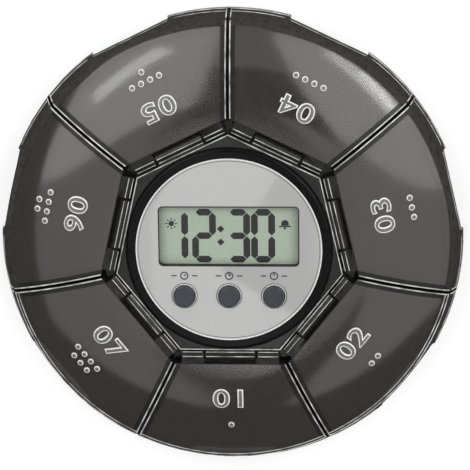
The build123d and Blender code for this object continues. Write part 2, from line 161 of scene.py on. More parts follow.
# See-through smoke-grey plastic
soft_edge = 0.25 * mm
smoke_lid = moulded("smoke_lid", (0.026, 0.023, 0.018), (0.036, 0.032, 0.026), (0.10, 0.13),
                    alpha=0.72, ior=1.8, wave=45, wave_depth=0.10 * mm)
# Painted shade: the lids' outer wall is a copy of the lid plastic, more opaque, with no reflection
# and its own tone
lid_side = moulded("lid_side", (0.034, 0.033, 0.032), (0.055, 0.053, 0.052), (0.25, 0.4),
                   alpha=0.9, ior=1.35, specular=0.0)
lid_skirt = moulded("lid_skirt", (0.013, 0.012, 0.012), (0.023, 0.022, 0.021), (0.15, 0.25),
                    alpha=0.84, ior=1.4, specular=0.3)
smoke_tray = moulded("smoke_tray", (0.011, 0.010, 0.010), (0.019, 0.018, 0.017), (0.06, 0.12),
                     alpha=0.88, edge_radius=soft_edge, specular=0.25)

# Raised numbers and dots with painted highlights on their sides, and the thin lines of painted
# highlight along edges
raised_smoke = moulded("raised_smoke", (0.10, 0.10, 0.095), (0.16, 0.16, 0.15), (0.2, 0.35),
                       grain=2200)
# Painted highlight: near-white sides on the raised numbers and dots
painted_side_highlight = moulded("painted_side_highlight", (0.74, 0.74, 0.73), (0.92, 0.92, 0.91), (0.25, 0.4),
                       grain=2200)
# Painted highlight: light beads along edges and hinge barrels, broken into glints by the noise
painted_edge_glint = moulded("painted_edge_glint", (0.16, 0.16, 0.155), (0.80, 0.80, 0.79), (0.2, 0.35),
                     grain=420)
# Painted highlight: near-white lines round the face plate and the buttons' holes
painted_ring_highlight = moulded("painted_ring_highlight", (0.78, 0.78, 0.77), (0.9, 0.9, 0.89), (0.2, 0.35), grain=2200)

# Timer
black_gloss = moulded("black_gloss", (0.002, 0.002, 0.002), (0.005, 0.005, 0.005), (0.08, 0.16),
                      ior=1.3, specular=0.2)
silver_paint = moulded("silver_paint", (0.345, 0.345, 0.345), (0.405, 0.405, 0.40), (0.32, 0.45),
                       grain=5200, metallic=0.2, coat=1.0)
print_grey = moulded("print_grey", (0.026, 0.026, 0.028), (0.050, 0.050, 0.054), (0.4, 0.6),
                     grain=3000)
clear_acrylic = moulded("clear_acrylic", (0.02, 0.03, 0.02), (0.03, 0.04, 0.03), (0.03, 0.07),
                        alpha=0.03, ior=1.6)
display_grey = moulded("display_grey", (0.325, 0.385, 0.31), (0.38, 0.45, 0.36), (0.25, 0.4),
                       grain=2600)
display_ink = moulded("display_ink", (0.004, 0.004, 0.005), (0.010, 0.010, 0.011), (0.3, 0.45),
                      grain=3000)
button_blue = moulded("button_blue", (0.014, 0.016, 0.024), (0.026, 0.029, 0.041), (0.18, 0.3))
door_black = moulded("door_black", (0.012, 0.012, 0.013), (0.022, 0.022, 0.024), (0.4, 0.6),
                     grain=2400)

# Inside the timer
strip_rubber = moulded("strip_rubber", (0.30, 0.30, 0.33), (0.4, 0.4, 0.43), (0.6, 0.8))
board_green = moulded("board_green", (0.015, 0.10, 0.04), (0.03, 0.16, 0.06), (0.3, 0.5),
                      grain=1500)
chip_black = moulded("chip_black", (0.008, 0.008, 0.008), (0.016, 0.016, 0.016), (0.4, 0.6))
bright_steel = moulded("bright_steel", (0.52, 0.52, 0.51), (0.66, 0.66, 0.65), (0.2, 0.34),
                       grain=2600, metallic=1.0)
spring_brass = moulded("spring_brass", (0.60, 0.48, 0.24), (0.72, 0.58, 0.30), (0.25, 0.4),
                       metallic=1.0)

node_finishes = {
    "base_tray": smoke_tray,
    "timer_front": black_gloss,
    "timer_back": black_gloss,
    "face_plate": silver_paint,
    "display_window": clear_acrylic,
    "display_panel": display_grey,
    "hour_button": button_blue,
    "mode_button": button_blue,
    "minute_button": button_blue,
    "battery_door": door_black,
    "coin_cell": bright_steel,
    "top_contact": spring_brass,
    "side_contact": spring_brass,
    "circuit_board": board_green,
    "chip_cover": chip_black,
    "buzzer": chip_black,
    "quartz_crystal": bright_steel,
    "button_contacts": spring_brass,
    "contact_strips": strip_rubber,
    "case_screws": bright_steel,
}
node_finishes.update({"lid_%d" % day: smoke_lid for day in range(1, day_count + 1)})
for node_name, finish in node_finishes.items():
    node = nodes[node_name]
    node.data.materials.clear()
    node.data.materials.append(finish)


# Helpers for the pieces
smooth_angle = radians(32)
flat_top_share = 0.98  # the top of a mark faces up more than this
weld_tolerance = 0.0005 * mm
font_weld_tolerance = 0.002 * mm
cut_tolerance = 0.0001 * mm
place_tolerance = 0.001 * mm


def keep(name, shape, finish_list, body):
    """Turns a bmesh into a finished piece that rides on a body."""
    bmesh.ops.recalc_face_normals(shape, faces=shape.faces)
    mesh = bpy.data.meshes.new(name)
    shape.to_mesh(mesh)
    shape.free()
    mesh.shade_smooth()
    mesh.set_sharp_from_angle(angle=smooth_angle)
    piece = bpy.data.objects.new(name, mesh)
    bpy.context.scene.collection.objects.link(piece)
    for finish in finish_list:
        mesh.materials.append(finish)
    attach(piece, body)
    return piece


def mark_edges(shape):
    """Gives all but the top faces the second finish, a painted highlight, so that raised marks have
    light edges.
    """
    shape.normal_update()
    for face in shape.faces:
        face.material_index = 0 if face.normal.z > flat_top_share else 1


def curve_shape(curve):
    """A curve as a bmesh. The curve itself is deleted."""
    holder = bpy.data.objects.new("curve", curve)
    mesh = bpy.data.meshes.new_from_object(holder)
    shape = bmesh.new()
    shape.from_mesh(mesh)
    bpy.data.objects.remove(holder)
    bpy.data.meshes.remove(mesh)
    bpy.data.curves.remove(curve)
    return shape


def seat_on_lid(shape, day):
    """Moves a mark that points to -Y up on to the dome, then round to its day."""
    for vertex in shape.verts:
        vertex.co.z += lid_height(vertex.co.xy.length)
    turn = Matrix.Rotation(day_angle(day) + radians(90), 4, "Z")
    bmesh.ops.transform(shape, matrix=turn, verts=shape.verts)


def turn_to_day(shape, day):
    """Turns a shape along +X round to its day."""
    turn = Matrix.Rotation(day_angle(day), 3, "Z")
    bmesh.ops.rotate(shape, verts=shape.verts, cent=(0, 0, 0), matrix=turn)


def cut_off(shape, place, facing):
    """Cuts a solid by a plane, takes away what lies beyond it and closes the cut."""
    everything = [*shape.verts, *shape.edges, *shape.faces]
    bmesh.ops.bisect_plane(shape, geom=everything, dist=cut_tolerance, plane_co=place,
                           plane_no=facing, clear_outer=True)
    bmesh.ops.holes_fill(shape, edges=[edge for edge in shape.edges if edge.is_boundary])


def round_edges(shape, picked, radius, segments):
    """Rounds the picked edges of a solid."""
    bmesh.ops.bevel(shape, geom=picked, offset=radius, offset_type="OFFSET", affect="EDGES",
                    segments=segments, profile=0.5, material=-1)


def block(low, high):
    """An upright block between two corners, as a bmesh."""
    shape = bmesh.new()
    low, high = Vector(low), Vector(high)
    place = Matrix.Translation((low + high) / 2) @ Matrix.Diagonal((*(high - low), 1))
    bmesh.ops.create_cube(shape, size=1, matrix=place)
    return shape


def upright_edges(shape, x):
    """The upright edges of a block at one of its ends."""
    return [edge for edge in shape.edges
            if all(abs(vertex.co.x - x) < place_tolerance for vertex in edge.verts)
            and abs(edge.verts[0].co.y - edge.verts[1].co.y) < place_tolerance]


def combine(shape, other, operation):
    """Joins another solid to a solid, or takes it away, and gives the result as a bmesh."""
    holders = []
    for solid in (shape, other):
        mesh = bpy.data.meshes.new("solid")
        bmesh.ops.recalc_face_normals(solid, faces=solid.faces)
        solid.to_mesh(mesh)
        solid.free()
        holders.append(bpy.data.objects.new("solid", mesh))
        bpy.context.scene.collection.objects.link(holders[-1])
    change = holders[0].modifiers.new("combine", "BOOLEAN")
    change.operation = operation
    change.solver = "EXACT"
    change.object = holders[1]
    evaluated = holders[0].evaluated_get(bpy.context.evaluated_depsgraph_get())
    mesh = bpy.data.meshes.new_from_object(evaluated)
    result = bmesh.new()
    result.from_mesh(mesh)
    bpy.data.meshes.remove(mesh)
    for holder in holders:
        solid_mesh = holder.data
        bpy.data.objects.remove(holder)
        bpy.data.meshes.remove(solid_mesh)
    return result


# Lids, with their dome carried out to the flats
lid_wall = 1.5 * mm
skirt_wall = 1.3 * mm
lid_gap = 0.6 * mm
shoulder_round = 1.0 * mm
leaf_x = 24.0 * mm
hollow_start_x = 23.7 * mm
flat_x = 45.7 * mm
flat_width = 17.1 * mm
flat_corner_round = 0.4 * mm
nail_lip_width = 17.0 * mm
nail_lip_reach = 0.25 * mm
nail_lip_round = nail_lip_reach * 0.9
nail_lip_height = 0.9 * mm
knuckle_overlap = 0.2 * mm
overrun = 6.0 * mm  # how far a block that only cuts reaches past the lid
slice_excess = 1.25  # a slice is spun this much wider than a lid, then cut straight
dome_steps = 14
sector_steps = 36
shoulder_round_steps = 5
corner_round_steps = 4


def dome_sector(inset, bottom, start_x, setback):
    """A slice of the lids' dome along +X between two straight sides, as a solid bmesh."""
    side_radius = shoulder_radius - inset
    outline = [(leaf_x / 2, bottom), (leaf_x / 2, lid_top - inset)]
    for step in range(dome_steps + 1):
        radius = crown_radius + (side_radius - crown_radius) * step / dome_steps
        outline.append((radius, lid_height(radius, inset)))
    outline.append((rim_radius - inset, bottom))
    shape = bmesh.new()
    section = shape.faces.new([shape.verts.new((radius, 0, height)) for radius, height in outline])
    half_turn = slice_excess * pi / day_count
    start_turn = Matrix.Rotation(-half_turn, 3, "Z")
    bmesh.ops.rotate(shape, verts=shape.verts, cent=(0, 0, 0), matrix=start_turn)
    geometry = [section, *section.edges, *section.verts]
    bmesh.ops.spin(shape, geom=geometry, cent=(0, 0, 0), axis=(0, 0, 1), angle=2 * half_turn,
                   steps=sector_steps, use_merge=False, use_duplicate=False)
    bmesh.ops.recalc_face_normals(shape, faces=shape.faces)
    for side in (-1, 1):
        facing = (-sin(half_sector), side * cos(half_sector), 0)
        cut_off(shape, (setback / sin(half_sector), 0, 0), facing)
    cut_off(shape, (start_x, 0, 0), (-1, 0, 0))
    return shape


def lid_knuckles():
    """The hinge knuckles and pins of the first lid, turned to +X, up to just inside its leaf."""
    shape = bmesh.new()
    shape.from_mesh(nodes["lid_1"].data)
    bmesh.ops.remove_doubles(shape, verts=shape.verts, dist=weld_tolerance)
    turn = Matrix.Rotation(-day_angle(1), 3, "Z")
    bmesh.ops.rotate(shape, verts=shape.verts, cent=(0, 0, 0), matrix=turn)
    cut_off(shape, (leaf_x + knuckle_overlap, 0, 0), (1, 0, 0))
    return shape


def make_lid_shell():
    """One lid along +X: a thin dome with straight sides, a front flat, a lip and its knuckles."""
    shape = dome_sector(0, lid_bottom, leaf_x, lid_gap / 2)
    shoulder_height = lid_top - shoulder_drop
    shoulder = [edge for edge in shape.edges
                if all(abs(vertex.co.z - shoulder_height) < place_tolerance
                       for vertex in edge.verts)]
    round_edges(shape, shoulder, shoulder_round, shoulder_round_steps)
    flat = block((flat_x, -flat_width / 2, lid_bottom - overrun),
                 (flat_x + overrun, flat_width / 2, lid_top + overrun))
    round_edges(flat, upright_edges(flat, flat_x), flat_corner_round, corner_round_steps)
    shape = combine(shape, flat, "DIFFERENCE")
    hollow = dome_sector(lid_wall, lid_bottom - overrun, hollow_start_x, lid_gap / 2 + skirt_wall)
    cut_off(hollow, (flat_x - lid_wall, 0, 0), (1, 0, 0))
    shape = combine(shape, hollow, "DIFFERENCE")
    lip_front = flat_x + nail_lip_reach
    lip = block((flat_x - lid_wall / 2, -nail_lip_width / 2, lid_bottom),
                (lip_front, nail_lip_width / 2, lid_bottom + nail_lip_height))
    round_edges(lip, upright_edges(lip, lip_front), nail_lip_round, corner_round_steps)
    shape = combine(shape, lip, "UNION")
    return combine(shape, lid_knuckles(), "UNION")


# Where a lid has which finish
steep_share = 0.87  # the outer wall's faces point up less than this
outward_share = 0.5  # and outward more than this
wall_start_radius = 44.5 * mm
lip_zone = 1.1 * nail_lip_height
skirt_band = 1.45 * mm
hinge_band_x = 24.2 * mm
dome_finish, wall_shade_finish, band_finish = range(3)


def mark_finishes(shape):
    """Marks the outer wall of a lid along +X for its painted shade, and the bands of its dome over
    the skirts.
    """
    band_corner = Vector((skirt_band / sin(half_sector), 0, 0))
    band_lines = [(band_corner, Vector((-sin(half_sector), side * cos(half_sector), 0)))
                  for side in (-1, 1)]
    band_lines.append((Vector((hinge_band_x, 0, 0)), Vector((-1, 0, 0))))
    for place, facing in band_lines:
        everything = [*shape.verts, *shape.edges, *shape.faces]
        bmesh.ops.bisect_plane(shape, geom=everything, dist=cut_tolerance, plane_co=place,
                               plane_no=facing)
    shape.normal_update()
    for face in shape.faces:
        centre = face.calc_center_median()
        radius = centre.xy.length
        outward = face.normal.x * centre.x + face.normal.y * centre.y
        steep = face.normal.z < steep_share and outward > outward_share * radius
        on_lip = centre.z < lid_bottom + lip_zone
        in_band = any((centre - place).dot(facing) > 0 for place, facing in band_lines)
        if (steep or on_lip) and radius > wall_start_radius:
            face.material_index = wall_shade_finish
        else:
            face.material_index = band_finish if in_band else dome_finish


lid_shell = make_lid_shell()
mark_finishes(lid_shell)
for day in range(1, day_count + 1):
    shape = lid_shell.copy()
    turn_to_day(shape, day)
    lid = keep("lid_shell_%d" % day, shape, (smoke_lid, lid_side, lid_skirt),
               "lid_%d" % day)
    lid.modifiers.new("even_shading", "WEIGHTED_NORMAL").keep_sharp = True
    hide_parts("lid_%d" % day)
lid_shell.free()


# Raised numbers and counting dots on the lids
number_baseline_radius = 33.3 * mm
number_height = 3.9 * mm
number_widening = 1.3
number_relief = 0.5 * mm
number_edge = 0.2 * mm
font_height_share = 0.73  # how much of the font's size a numeral fills
numeral_spacing = 1.12
numeral_edge_steps = 2
numeral_curve_steps = 6


def numeral_shape(numerals, height, widening, thickness, edge):
    """Plain numerals as a solid bmesh, centred across, standing on y = 0, with rounded edges."""
    curve = bpy.data.curves.new("numerals", "FONT")
    curve.body = numerals
    curve.size = height / font_height_share
    curve.align_x = "CENTER"
    curve.space_character = numeral_spacing
    curve.extrude = thickness / 2 - edge
    curve.bevel_depth = edge
    curve.bevel_resolution = numeral_edge_steps
    curve.resolution_u = numeral_curve_steps
    shape = curve_shape(curve)
    bmesh.ops.remove_doubles(shape, verts=shape.verts, dist=font_weld_tolerance)
    bmesh.ops.scale(shape, verts=shape.verts, vec=(widening, 1, 1))
    return shape


def make_day_number(day):
    """A raised number that follows the lid's dome, with its foot towards the rim."""
    shape = numeral_shape("0%d" % day, number_height, number_widening, number_relief, number_edge)
    bmesh.ops.translate(shape, verts=shape.verts, vec=(0, -number_baseline_radius, 0))
    mark_edges(shape)
    seat_on_lid(shape, day)
    return keep("number_%d" % day, shape, (raised_smoke, painted_side_highlight), "lid_%d" % day)


dot_radius = 0.62 * mm
dot_relief = 0.3 * mm
dot_edge = 0.2 * mm
dot_pitch = 2.0 * mm
dot_row_radius = 37.4 * mm
dots_in_row = 4
dot_segments = 24
dot_edge_steps = 3


def make_counting_dots(day):
    """As many raised dots as the day's number, in rows of up to four."""
    shape = bmesh.new()
    for index in range(day):
        row, column = divmod(index, dots_in_row)
        in_row = min(dots_in_row, day - row * dots_in_row)
        across = (column - (in_row - 1) / 2) * dot_pitch
        along = dot_row_radius + row * dot_pitch
        place = Matrix.Translation((across, -along, 0))
        bmesh.ops.create_cone(shape, segments=dot_segments, cap_ends=True, radius1=dot_radius,
                              radius2=dot_radius, depth=2 * dot_relief, matrix=place)
    shape.normal_update()
    top_edges = [edge for edge in shape.edges
                 if any(face.normal.z > flat_top_share for face in edge.link_faces)]
    round_edges(shape, top_edges, dot_edge, dot_edge_steps)
    mark_edges(shape)
    seat_on_lid(shape, day)
    return keep("dots_%d" % day, shape, (raised_smoke, painted_side_highlight), "lid_%d" % day)


# The painted highlights that edges and hinge barrels show, as fine light beads half sunk in their
# surface
bead_radius = 0.13 * mm
bead_ring_steps = 1
thin_line_radius = 0.09 * mm

# Along a lid's dividers and round its rim
bead_setback = 0.45 * mm
bead_inner_x = 24.1 * mm
bead_rim_inset = 0.15 * mm
bead_rim_height = 0.3 * mm
divider_steps = 20
rim_steps = 10

# Across a lid: on its outer wall, and on the shoulders of the lids at the far side of the camera
wall_line_inset = 0.5 * mm
shoulder_line_insets = (0.1 * mm, 0.7 * mm)
shoulder_line_days = (7, 1, 2)
cross_steps = 24

# Along the hinge barrels: on their tops and beside these, towards the hub
barrel_radius = 1.2 * mm
barrel_x = 22.5 * mm
barrel_side_x = 21.65 * mm
barrel_side_height = 27.5 * mm
lid_barrel_ends = (5.6 * mm, 9.7 * mm)
hub_barrel_half = 4.9 * mm

# Round the hub
deck_height = 28.0 * mm
hub_edge_apothem = 20.93 * mm
hub_edge_drop = 0.13 * mm


def bead_along(path, radius, closed=True):
    """A round bead along a list of points, as a bmesh."""
    curve = bpy.data.curves.new("bead", "CURVE")
    curve.dimensions = "3D"
    curve.bevel_depth = radius
    curve.bevel_resolution = bead_ring_steps
    line = curve.splines.new("POLY")
    line.points.add(len(path) - 1)
    for point, place in zip(line.points, path):
        point.co = (*place, 1)
    line.use_cyclic_u = closed
    curve.use_fill_caps = not closed
    return curve_shape(curve)


def lid_surface_height(x, y):
    """How high a lid's surface is over a place, from its dome down its wall to the rim."""
    radius = sqrt(x * x + y * y)
    if radius < shoulder_radius:
        return lid_height(radius)
    wall_share = (radius - shoulder_radius) / (rim_radius - shoulder_radius)
    return lid_top - shoulder_drop - wall_share * (lid_top - shoulder_drop - lid_bottom)


def add_line(shape, path):
    """Adds a thin open bead along a path to a bmesh."""
    line = bead_along(path, thin_line_radius, closed=False)
    mesh = bpy.data.meshes.new("line")
    line.to_mesh(mesh)
    line.free()
    shape.from_mesh(mesh)
    bpy.data.meshes.remove(mesh)


def add_barrel_lines(shape):
    """Adds the painted glints along a lid's two hinge barrels, for a lid along +X."""
    axis_height = lid_top - barrel_radius
    side_height = axis_height + sqrt(barrel_radius ** 2 - (barrel_x - barrel_side_x) ** 2)
    for side in (-1, 1):
        near, far = (side * end for end in lid_barrel_ends)
        for x, height in ((barrel_x, lid_top), (barrel_side_x, side_height)):
            add_line(shape, [(x, near, height), (x, far, height)])


def add_cross_line(shape, radius):
    """Adds a line of painted highlight across a lid along +X at a distance from the hub's axis."""
    reach = half_sector - asin(bead_setback / radius)
    path = []
    for step in range(cross_steps + 1):
        angle = reach * (2 * step / cross_steps - 1)
        x, y = radius * cos(angle), radius * sin(angle)
        path.append((min(x, flat_x), y, lid_surface_height(x, y)))
    add_line(shape, path)


def make_lid_edge(day):
    """The painted highlights of a lid: along its dividers, its rim and flat, its shoulder and its
    barrels.
    """
    rim = rim_radius - bead_rim_inset
    rim_z = lid_bottom + bead_rim_height
    corner_angle = half_sector - asin(bead_setback / rim)
    corner_x = rim * cos(corner_angle)
    flat_angle = asin(flat_width / 2 / rim)
    half = []
    for step in range(divider_steps):
        x = bead_inner_x + (corner_x - bead_inner_x) * step / divider_steps
        y = x * tan(half_sector) - bead_setback / cos(half_sector)
        half.append((x, y, lid_surface_height(x, y)))
    for step in range(rim_steps + 1):
        angle = corner_angle + (flat_angle - corner_angle) * step / rim_steps
        half.append((rim * cos(angle), rim * sin(angle), rim_z))
    half.append((flat_x + nail_lip_reach, flat_width / 2, rim_z))
    path = half + [(x, -y, z) for x, y, z in reversed(half)]
    shape = bead_along(path, bead_radius, closed=False)
    add_cross_line(shape, rim_radius - wall_line_inset)
    if day in shoulder_line_days:
        for inset in shoulder_line_insets:
            add_cross_line(shape, shoulder_radius - inset)
    add_barrel_lines(shape)
    turn_to_day(shape, day)
    return keep("lid_edge_%d" % day, shape, (painted_edge_glint,), "lid_%d" % day)


def make_hub_edge():
    """The painted highlight along the edge of the seven-sided hub, and the painted glints along its
    hinge barrels.
    """
    reach = hub_edge_apothem / cos(half_sector)
    height = deck_height - hub_edge_drop
    corners = [(day + 0.5) * 2 * pi / day_count for day in range(day_count)]
    path = [(reach * cos(angle), reach * sin(angle), height) for angle in corners]
    shape = bead_along(path, bead_radius)
    turn = Matrix.Rotation(2 * pi / day_count, 4, "Z")
    for day in range(day_count):
        for x, line_height in ((barrel_x, lid_top), (barrel_side_x, barrel_side_height)):
            add_line(shape, [(x, -hub_barrel_half, line_height), (x, hub_barrel_half, line_height)])
        bmesh.ops.transform(shape, matrix=turn, verts=shape.verts)
    first_turn = Matrix.Rotation(first_day_angle, 4, "Z")
    bmesh.ops.transform(shape, matrix=first_turn, verts=shape.verts)
    return keep("hub_edge", shape, (painted_edge_glint,), "tray")


make_hub_edge()
for day in range(1, day_count + 1):
    make_day_number(day)
    make_counting_dots(day)
    make_lid_edge(day)


# What the display shows: 12:30 in digits of seven strokes, with a sun and a bell
# Each digit's strokes: top, upper right, lower right, bottom, lower left, upper left, middle
digit_strokes = {
    "0": (1, 1, 1, 1, 1, 1, 0),
    "1": (0, 1, 1, 0, 0, 0, 0),
    "2": (1, 1, 0, 1, 1, 0, 1),
    "3": (1, 1, 1, 1, 0, 0, 1),
}
digit_height = 11.0 * mm
digit_width = 4.8 * mm
digit_foot_y = -3.0 * mm
stroke_width = 1.35 * mm
stroke_gap = 0.10 * mm
ink_thickness = 0.05 * mm
film_inset = 0.05 * mm


def add_stroke(shape, start, end):
    """One stroke of a digit: a flat bar with pointed ends."""
    along = (end - start).normalized()
    across = Vector((-along.y, along.x)) * (stroke_width / 2)
    start = start + along * stroke_gap
    end = end - along * stroke_gap
    point = along * (stroke_width / 2)
    outline = [start, start + point - across, end - point - across, end, end - point + across,
               start + point + across]
    face = shape.faces.new([shape.verts.new((p.x, p.y, film_top)) for p in outline])
    top = bmesh.ops.extrude_face_region(shape, geom=[face])
    lifted = [item for item in top["geom"] if isinstance(item, bmesh.types.BMVert)]
    bmesh.ops.translate(shape, verts=lifted, vec=(0, 0, ink_thickness))


def make_digit(name, numeral, left):
    """A seven-stroke digit on the display."""
    shape = bmesh.new()
    inset = stroke_width / 2
    west, east = left + inset, left + digit_width - inset
    south, north = digit_foot_y + inset, digit_foot_y + digit_height - inset
    middle = (south + north) / 2
    ends = [
        ((west, north), (east, north)),
        ((east, north), (east, middle)),
        ((east, middle), (east, south)),
        ((east, south), (west, south)),
        ((west, south), (west, middle)),
        ((west, middle), (west, north)),
        ((west, middle), (east, middle)),
    ]
    for shown, (start, end) in zip(digit_strokes[numeral], ends):
        if shown:
            add_stroke(shape, Vector(start), Vector(end))
    return keep(name, shape, (display_ink,), "timer")


def make_display_film():
    """The film over the display that its digits show on."""
    low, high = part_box("display_panel")
    shape = block((low.x + film_inset, low.y + film_inset, high.z),
                  (high.x - film_inset, high.y - film_inset, film_top))
    return keep("display_film", shape, (display_grey,), "timer")


make_display_film()
make_digit("digit_1", "1", -13.05 * mm)
make_digit("digit_2", "2", -7.45 * mm)
make_digit("digit_3", "3", -0.6 * mm)
make_digit("digit_4", "0", 4.4 * mm)


ring_steps = 40


def add_disc(shape, centre, radius, height, thickness, segments):
    """A thin round slab that stands on a height."""
    place = Matrix.Translation((*centre, height + thickness / 2))
    bmesh.ops.create_cone(shape, segments=segments, cap_ends=True, radius1=radius, radius2=radius,
                          depth=thickness, matrix=place)


def add_bar(shape, centre, size, height, thickness, angle=0.0):
    """A thin oblong slab that stands on a height."""
    place = Matrix.Translation((*centre, height + thickness / 2)) @ Matrix.Rotation(angle, 4, "Z")
    place = place @ Matrix.Diagonal((*size, thickness, 1))
    bmesh.ops.create_cube(shape, size=1, matrix=place)


def add_ring(shape, centre, radius, line, height, thickness):
    """A thin flat ring that stands on a height."""
    start = shape.verts.new((centre[0] + radius - line, centre[1], height))
    edge = bmesh.ops.extrude_vert_indiv(shape, verts=[start])
    bmesh.ops.translate(shape, verts=edge["verts"], vec=(line, 0, 0))
    strip = bmesh.ops.extrude_edge_only(shape, edges=edge["edges"])
    lifted = [item for item in strip["geom"] if isinstance(item, bmesh.types.BMVert)]
    bmesh.ops.translate(shape, verts=lifted, vec=(0, 0, thickness))
    section = [item for item in strip["geom"] if isinstance(item, bmesh.types.BMFace)]
    outline = [*section, *section[0].edges, *section[0].verts]
    bmesh.ops.spin(shape, geom=outline, cent=(*centre, height), axis=(0, 0, 1), angle=2 * pi,
                   steps=ring_steps, use_merge=True, use_duplicate=False)


colon_x = -1.7 * mm
colon_size = 1.05 * mm
colon_heights = (1.2 * mm, 3.9 * mm)


def make_colon():
    """Two small diamonds between the hours and the minutes."""
    shape = bmesh.new()
    for y in colon_heights:
        add_bar(shape, (colon_x, y), (colon_size, colon_size), film_top, ink_thickness, radians(45))
    return keep("colon", shape, (display_ink,), "timer")


sun_place = (-11.6 * mm, 5.0 * mm)
sun_radius = 0.55 * mm
sun_segments = 24
ray_count = 8
ray_length = 0.4 * mm
ray_width = 0.22 * mm


def make_sun_mark():
    """A small sun that stands for daytime."""
    shape = bmesh.new()
    add_disc(shape, sun_place, sun_radius, film_top, ink_thickness, sun_segments)
    reach = sun_radius + ray_length
    for ray in range(ray_count):
        angle = ray * 2 * pi / ray_count
        centre = (sun_place[0] + reach * cos(angle), sun_place[1] + reach * sin(angle))
        add_bar(shape, centre, (ray_length, ray_width), film_top, ink_thickness, angle)
    return keep("sun_mark", shape, (display_ink,), "timer")


bell_place = (11.2 * mm, 5.0 * mm)
bell_radius = 0.75 * mm
bell_skirt = (2 * bell_radius, 0.5 * bell_radius)
bell_skirt_y = -0.25 * bell_radius
bell_brim = (3.2 * bell_radius, 0.35 * bell_radius)
bell_brim_y = -0.75 * bell_radius
clapper_radius = 0.3 * bell_radius
clapper_y = -1.25 * bell_radius
bell_segments = 32
clapper_segments = 16


def make_bell_mark():
    """A small bell for the alarm: a dome, a skirt, a brim and a clapper."""
    shape = bmesh.new()
    add_disc(shape, (0, 0), bell_radius, film_top, ink_thickness, bell_segments)
    everything = [*shape.verts, *shape.edges, *shape.faces]
    bmesh.ops.bisect_plane(shape, geom=everything, plane_co=(0, 0, 0), plane_no=(0, 1, 0),
                           clear_inner=True)
    bmesh.ops.holes_fill(shape, edges=[edge for edge in shape.edges if edge.is_boundary])
    add_bar(shape, (0, bell_skirt_y), bell_skirt, film_top, ink_thickness)
    add_bar(shape, (0, bell_brim_y), bell_brim, film_top, ink_thickness)
    add_disc(shape, (0, clapper_y), clapper_radius, film_top, ink_thickness, clapper_segments)
    bmesh.ops.translate(shape, verts=shape.verts, vec=(*bell_place, 0))
    return keep("bell_mark", shape, (display_ink,), "timer")


make_colon()
make_sun_mark()
make_bell_mark()


# Printed marks over the buttons: a clock with a short hand, with both hands, with a long hand
mark_y = -5.3 * mm
mark_radius = 0.85 * mm
mark_line = 0.26 * mm
mark_dash = 1.1 * mm
mark_dash_x = 2.1 * mm
print_thickness = 0.03 * mm
short_hand = (0.42 * mm, radians(35))
long_hand = (0.72 * mm, radians(90))


def make_button_mark(button, hands):
    """A small clock ring with hands and a dash each side, centred over a button."""
    low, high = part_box(button)
    centre_x = (low.x + high.x) / 2
    shape = bmesh.new()
    add_ring(shape, (centre_x, mark_y), mark_radius, mark_line, face_top, print_thickness)
    for side in (-1, 1):
        add_bar(shape, (centre_x + side * mark_dash_x, mark_y), (mark_dash, mark_line), face_top,
                print_thickness)
    for length, angle in hands:
        centre = (centre_x + length / 2 * cos(angle), mark_y + length / 2 * sin(angle))
        add_bar(shape, centre, (length, mark_line), face_top, print_thickness, angle)
    return keep(button.replace("button", "mark"), shape, (print_grey,), "timer")


make_button_mark("hour_button", (short_hand,))
make_button_mark("mode_button", (short_hand, long_hand))
make_button_mark("minute_button", (long_hand,))


# The fine lines of painted highlight and painted shade where the face plate ends, round its window
# and round the buttons
button_cap_radius = 2.25 * mm
button_ring_gap = 0.1 * mm
plate_line = 0.1 * mm
plate_edge_inset = 0.12 * mm
shade_ring_line = 0.05 * mm
plate_shade_ring_inset = 0.5 * mm
edge_shade_line = 0.12 * mm
window_corner = 0.8 * mm
circle_steps = 72
corner_steps = 6


def circle_path(low, high, radius):
    """Points round a circle on the face plate, centred on a box."""
    turns = [2 * pi * step / circle_steps for step in range(circle_steps)]
    x, y = (low.x + high.x) / 2, (low.y + high.y) / 2
    return [(x + radius * cos(angle), y + radius * sin(angle), face_top) for angle in turns]


def make_plate_lines():
    """A painted highlight where the face plate ends and a fine dark line of painted shade inside
    it.
    """
    low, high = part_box("face_plate")
    plate_radius = (high.x - low.x) / 2
    edge = bead_along(circle_path(low, high, plate_radius - plate_edge_inset), plate_line)
    keep("face_edge", edge, (painted_ring_highlight,), "timer")
    # Painted shade: a fine dark ring in the print colour, inside the plate's edge
    shade_ring = bead_along(circle_path(low, high, plate_radius - plate_shade_ring_inset), shade_ring_line)
    keep("face_shade_ring", shade_ring, (print_grey,), "timer")


def make_button_ring(button):
    """A painted highlight round a button's hole."""
    low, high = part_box(button)
    ring = bead_along(circle_path(low, high, button_cap_radius + button_ring_gap), plate_line)
    return keep(button.replace("button", "ring"), ring, (painted_ring_highlight,), "timer")


def make_window_edge_shade():
    """A dark line of painted shade round the window, with rounded corners."""
    low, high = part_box("display_window")
    corners = ((high.x, high.y), (low.x, high.y), (low.x, low.y), (high.x, low.y))
    path = []
    for quarter, (x, y) in enumerate(corners):
        inner_x = x - window_corner if x > 0 else x + window_corner
        inner_y = y - window_corner if quarter < 2 else y + window_corner
        for step in range(corner_steps + 1):
            angle = (quarter + step / corner_steps) * pi / 2
            path.append((inner_x + window_corner * cos(angle),
                         inner_y + window_corner * sin(angle), face_top))
    edge_shade_bead = bead_along(path, edge_shade_line)
    return keep("window_edge_shade", edge_shade_bead, (display_ink,), "timer")


make_plate_lines()
for button in ("hour_button", "mode_button", "minute_button"):
    make_button_ring(button)
make_window_edge_shade()


# Camera at the photograph's angle
camera_elevation = radians(75.91)
camera_azimuth = radians(13.4)
camera_roll = radians(-0.63)
camera_distance = 450 * mm
camera_aim = Vector((0, 0, 28 * mm))
camera_slide = (1.2 * mm, 2.84 * mm)
sensor_width = 36
focal_pixels = 2248
frame_pixels = 470


